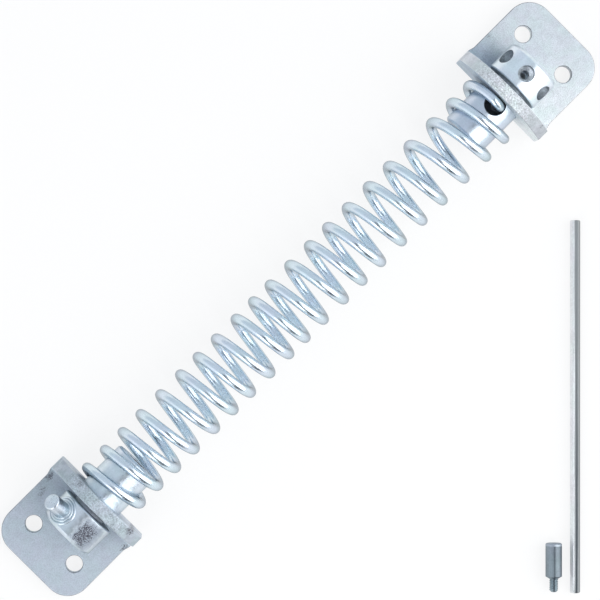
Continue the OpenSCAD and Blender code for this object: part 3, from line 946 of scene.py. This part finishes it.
# Spring wire, swept ring by ring along its path
def eased(angle):
    """Share of the coil's length reached at an angle, with its pitch eased in and out."""
    if angle < PITCH_EASE:
        run = angle ** 2 / (2 * PITCH_EASE)
    elif angle > COIL_SWEEP - PITCH_EASE:
        run = COIL_SWEEP - PITCH_EASE - (COIL_SWEEP - angle) ** 2 / (2 * PITCH_EASE)
    else:
        run = angle - PITCH_EASE / 2
    return run / (COIL_SWEEP - PITCH_EASE)


def winding_shift(share):
    """How far the winding stands from an even pitch, on a smooth curve through its shifts."""
    last = len(WINDING_SHIFTS) - 1
    i = min(int(share * last), last - 1)
    t = share * last - i
    p, q, r, s = (WINDING_SHIFTS[min(max(i + k, 0), last)] for k in (-1, 0, 1, 2))
    return q + t * (r - p + t * (2 * p - 5 * q + 4 * r - s + t * (3 * (q - r) + s - p))) / 2


def coil_point(angle):
    """The middle of the wire at an angle along the coil."""
    share = eased(angle)
    along = LOWER_HOOK_X + (UPPER_HOOK_X - LOWER_HOOK_X) * share + winding_shift(share)
    turn = angle - HOOK_TURN - HOOK_LEAN
    return Vector((along, COIL_RADIUS * cos(turn), COIL_RADIUS * sin(turn)))


def leaned(along, side, across, height):
    """A point of an upright hook at one end, leaned past the middle of its hole."""
    return Matrix.Rotation(side * HOOK_LEAN, 3, "X") @ Vector((along, across, side * height))


def bend_point(along, side, angle):
    """The middle of the wire at an angle round the bend of a hook."""
    return leaned(along, side, HOOK_BEND_RADIUS * (1 + cos(angle)),
                  HOOK_RISE + HOOK_BEND_RADIUS * sin(angle))


def hook_point(along, side, share):
    """The middle of the wire at a share of a hook's straight end."""
    return leaned(along, side, 0, HOOK_RISE - HOOK_LENGTH * share)


def wire_path():
    """The middle of the wire, ring by ring from the lower hook's end to the upper one's."""
    coil_rings = round(COIL_SWEEP / TURN * RINGS_PER_TURN)
    bend = pi - HOOK_TURN
    path = [hook_point(LOWER_HOOK_X, -1, 1 - i / HOOK_RINGS) for i in range(HOOK_RINGS)]
    path += [bend_point(LOWER_HOOK_X, -1, pi - bend * i / BEND_RINGS) for i in range(BEND_RINGS)]
    path += [coil_point(COIL_SWEEP * i / coil_rings) for i in range(coil_rings + 1)]
    path += [bend_point(UPPER_HOOK_X, 1, HOOK_TURN + bend * i / BEND_RINGS)
             for i in range(1, BEND_RINGS + 1)]
    path += [hook_point(UPPER_HOOK_X, 1, i / HOOK_RINGS) for i in range(1, HOOK_RINGS + 1)]
    return path


def spring_wire():
    """The wire along its path, with its run and its section kept as the grain of its finish."""
    path = wire_path()
    last = len(path) - 1
    runs = [0.0]
    for before, after in zip(path, path[1:]):
        runs.append(runs[-1] + (after - before).length * MM)
    bm = ringed_bar(last, WIRE_RADIUS, WIRE_SIDES, capped=True)
    caps = [f for f in bm.faces if len(f.verts) == WIRE_SIDES]
    # The last rings at each end, inside the hook holes, take the dark hook hole finish as painted shade
    for face in bm.faces:
        ring = face.calc_center_median().z
        if min(ring, last - ring) < SHADED_HOOK_RINGS:
            face.material_index = SHADED_HOOK_END
    grain = bm.verts.layers.float_vector.new("wire_grain")
    for vert in bm.verts:
        vert[grain] = (runs[round(vert.co.z)], vert.co.x * MM, vert.co.y * MM)
    set_rings(bm, square_places(path, Vector((1, 0, 0))))
    bmesh.ops.inset_region(bm, faces=caps, thickness=CUT_END_INSET, depth=CUT_END_RISE)
    outward(bm)
    if bm.calc_volume(signed=True) < 0:
        bmesh.ops.reverse_faces(bm, faces=bm.faces)
    return bm


# Finished pieces
to_upper = moved(2 * MIDDLE_X, 0, 0) @ Matrix.Rotation(pi, 4, "Z")
lower_hub_place = moved(LOWER_DRUM_X, 0, AXIS_Z) @ along_x
upper_hub_place = moved(UPPER_DRUM_X, 0, AXIS_Z) @ Matrix.Rotation(pi, 4, "Y") @ along_x
stop_pin_axis = (moved(LOWER_DRUM_X - DRUM_LENGTH / 2, 0, AXIS_Z)
                 @ Matrix.Rotation(-STOP_PIN_LEAN, 4, "X"))
stop_pin_place = stop_pin_axis @ moved(0, 0, DRUM_RADIUS - DRUM_HOLE_DEPTH + STOP_PIN_LIFT)
loose_place = moved(ROD_NEAR_X, ROD_NEAR_Y, 0) @ Matrix.Rotation(pi + LAY_ANGLE, 4, "Z")
lock_pin_place = loose_place @ moved(LOCK_PIN_ALONG, LOCK_PIN_ASIDE, PIN_RADIUS) @ against_x
rod_place = loose_place @ moved(0, 0, ROD_FLATS / 2) @ along_x
tension_leans = [TURN * i / TENSION_HOLES for i in range(TENSION_HOLES)]

pieces = [
    (bent_bracket(), "lower_bracket_plated", Matrix.Identity(4),
     [lower_face_zinc, lower_edge_zinc, rim_painted_shade], "lower_bracket", "lower_bracket", "bracket_plating"),
    (bent_bracket(), "upper_bracket_plated", to_upper,
     [upper_face_zinc, upper_edge_zinc, rim_painted_shade], "upper_bracket", "upper_bracket", "bracket_plating"),
    (drilled_hub([pi - STOP_PIN_LEAN]), "lower_hub_turned", lower_hub_place,
     [lower_hub_zinc, *hole_walls_painted_shade], "lower_hub", "lower_hub", "hub_plating"),
    (drilled_hub(tension_leans), "upper_hub_turned", upper_hub_place,
     [upper_hub_zinc, *hole_walls_painted_shade], "upper_hub", "upper_hub", "hub_plating"),
    (threaded_pin(), "stop_pin_threaded", stop_pin_place, [stop_pin_zinc],
     "lower_hub", "lower_stop_pin", "pin_plating"),
    (threaded_pin(), "lock_pin_threaded", lock_pin_place, [lock_pin_zinc],
     "lock_pin", "lock_pin", "pin_plating"),
    (hex_rod(), "hex_rod_drawn", rod_place, [rod_zinc],
     "adjusting_rod", "adjusting_rod", "rod_plating"),
]
for shape, name, place, finishes, body, cad_node, slot in pieces:
    piece = finished(shape, name, place, finishes)
    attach(piece, body)
    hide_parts(cad_node)

# Each bead's radius round the stop pin and its own radius
bead_sizes = {"stop_pin_collar": (3.35, 0.5), "stop_pin_inner_bead": (4.25, 0.52),
              "stop_pin_outer_bead": (5.3, 0.48)}
for bead_name, bead_size in bead_sizes.items():
    bead = finished(peened_bead(*bead_size), bead_name, stop_pin_axis, [lower_hub_zinc])
    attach(bead, "lower_hub")

# The wire's ends inside the hook holes take the hook hole's painted shade
spring = finished(spring_wire(), "spring_wire_coiled", moved(0, 0, AXIS_Z),
                  [wire_zinc, hole_walls_painted_shade[-1]])
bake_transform(spring)
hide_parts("spring")

# Floor, light and camera, in metres but for the paper's gap
PAPER_HALF_WIDTH = 4.0
PAPER_GAP = 0.4
PAPER_SHADE = 0.92
PAPER_PLAIN_SHARE = 0.82
LAMP_SIDE = Vector((-0.156, -0.988, 0.0)).normalized()
ACROSS_LAMPS = LAMP_SIDE.cross(Vector((0, 0, -1)))
LAMP_DISTANCE = 1.3
CAMERA_PLACE = Vector((0.1043, 0.0353, 1.105))
CAMERA_TARGET = Vector((0.13155, -0.00066, 0.005))
CAMERA_UP = Vector((1, 1, 0))
CAMERA_SENSOR = 36.0
CAMERA_LENS = 173.46


def floor_material():
    """White paper: part its own shade, part plain white to whatever looks at it."""
    material = bpy.data.materials.new("white_paper")
    material.use_nodes = True
    tree = material.node_tree
    shader, end = tree.nodes["Principled BSDF"], tree.nodes["Material Output"]
    shader.inputs["Base Color"].default_value = rgb(PAPER_SHADE, PAPER_SHADE, PAPER_SHADE)
    shader.inputs["Roughness"].default_value = 1.0
    shader.inputs["Specular IOR Level"].default_value = 0.0
    white = node(tree, "ShaderNodeEmission", {"Color": rgb(1, 1, 1), "Strength": 1.0})
    rays = tree.nodes.new("ShaderNodeLightPath").outputs
    seen = maths(tree, "MAXIMUM", rays["Is Camera Ray"], rays["Is Glossy Ray"])
    seen = maths(tree, "MAXIMUM", seen, rays["Is Transmission Ray"])
    mix = node(tree, "ShaderNodeMixShader", {0: product(tree, seen, PAPER_PLAIN_SHARE),
                                             1: shader.outputs[0], 2: white.outputs[0]})
    tree.links.new(mix.outputs[0], end.inputs["Surface"])
    return material


def paper_floor():
    bm = bmesh.new()
    under = moved(MIDDLE_X * MM, 0, cad_low[2] - PAPER_GAP * MM)
    bmesh.ops.create_grid(bm, x_segments=1, y_segments=1, size=PAPER_HALF_WIDTH, matrix=under)
    mesh = as_mesh(bm, "paper_floor")
    mesh.materials.append(floor_material())
    floor = placed("paper_floor", mesh)


def facing(location, target, up):
    """The matrix of a lamp or camera at one point that looks at another."""
    look = (target - location).normalized()
    right = look.cross(up).normalized()
    turn = Matrix((right, right.cross(look), -look)).transposed().to_4x4()
    return Matrix.Translation(location) @ turn


def middle_and_half(low, high):
    """The middle of a range of degrees and half its width, in radians."""
    return radians((low + high) / 2), radians((high - low) / 2)


def softbox(name, asides, tilts, lean, radiance):
    """A lamp that fills the sky between two angles across the lamp side and two from straight up."""
    aside, half_width = middle_and_half(*asides)
    tilt, half_height = middle_and_half(*tilts)
    lamp = bpy.data.lights.new(name, "AREA")
    lamp.shape = "RECTANGLE"
    lamp.size = 2 * LAMP_DISTANCE * tan(half_width)
    lamp.size_y = 2 * LAMP_DISTANCE * tan(half_height)
    lamp.energy = pi * radiance * lamp.size * lamp.size_y
    centre = Vector((MIDDLE_X, 0, AXIS_Z)) * MM
    upright = Vector((0, 0, 1))
    aim = LAMP_SIDE * sin(tilt) + upright * cos(tilt)
    aim = aim * cos(aside) + ACROSS_LAMPS * sin(aside)
    over = LAMP_SIDE * cos(tilt) - upright * sin(tilt)
    over += ACROSS_LAMPS * tan(radians(lean))
    placed(name, lamp).matrix_world = facing(centre + aim * LAMP_DISTANCE, centre, over)


def studio_world():
    """Cool, even surroundings with dark cloth behind the lamps, low on their left and straight overhead."""
    world = bpy.data.worlds.new("studio")
    bpy.context.scene.world = world
    world.use_nodes = True
    tree = world.node_tree
    place = tree.nodes.new("ShaderNodeTexCoord").outputs["Generated"]
    at = parted(tree, place)
    off_x, off_y = (maths(tree, "ABSOLUTE", at[axis]) for axis in "XY")
    across = vectors(tree, "DOT_PRODUCT", place, ACROSS_LAMPS)["Value"]
    toward = vectors(tree, "DOT_PRODUCT", place, LAMP_SIDE)["Value"]
    tilt = maths(tree, "ARCTAN2", toward, at["Z"])
    low_cloth = product(tree, ramp(tree, across, -0.25, -0.50), ramp_degrees(tree, tilt, 104, 94))
    cloth = maths(tree, "MAXIMUM", low_cloth, ramp_degrees(tree, tilt, 87, 83))
    cloth = product(tree, cloth, ramp_degrees(tree, tilt, 5, 8),
                    ramp(tree, maths(tree, "ABSOLUTE", across), 0.93, 0.89))
    overhead = product(tree, ramp(tree, off_x, 0.34, 0.26), ramp(tree, off_y, 0.11, 0.07),
                       ramp(tree, at["Z"], 0.4, 0.6))
    cloth = maths(tree, "MAXIMUM", cloth, overhead)
    sky = mixed(tree, ramp(tree, at["Z"], 0.0, 0.30), rgb(0.62, 0.67, 0.74), rgb(0.66, 0.72, 0.79))
    sky = mixed(tree, ramp(tree, at["X"], -0.2, -0.9), sky, rgb(1.05, 1.08, 1.14))
    draped = mixed(tree, cloth, sky, rgb(0.10, 0.11, 0.13))
    tree.links.new(draped, tree.nodes["Background"].inputs["Color"])


def photo_camera():
    """Camera above the closer, with the hubs' axis on the picture's diagonal."""
    data = bpy.data.cameras.new("photo_camera")
    data.sensor_width = CAMERA_SENSOR
    data.lens = CAMERA_LENS
    camera = placed("photo_camera", data)
    camera.matrix_world = facing(CAMERA_PLACE, CAMERA_TARGET, CAMERA_UP)
    bpy.context.scene.camera = camera


paper_floor()
studio_world()
softbox("right_softbox", asides=(-3.0, 62.0), tilts=(10.0, 79.0), lean=18.0, radiance=2.3)
softbox("left_softbox", asides=(-63.0, -35.0), tilts=(10.0, 58.0), lean=-18.0, radiance=2.25)
photo_camera()
bpy.context.scene.view_settings.view_transform = "Standard"
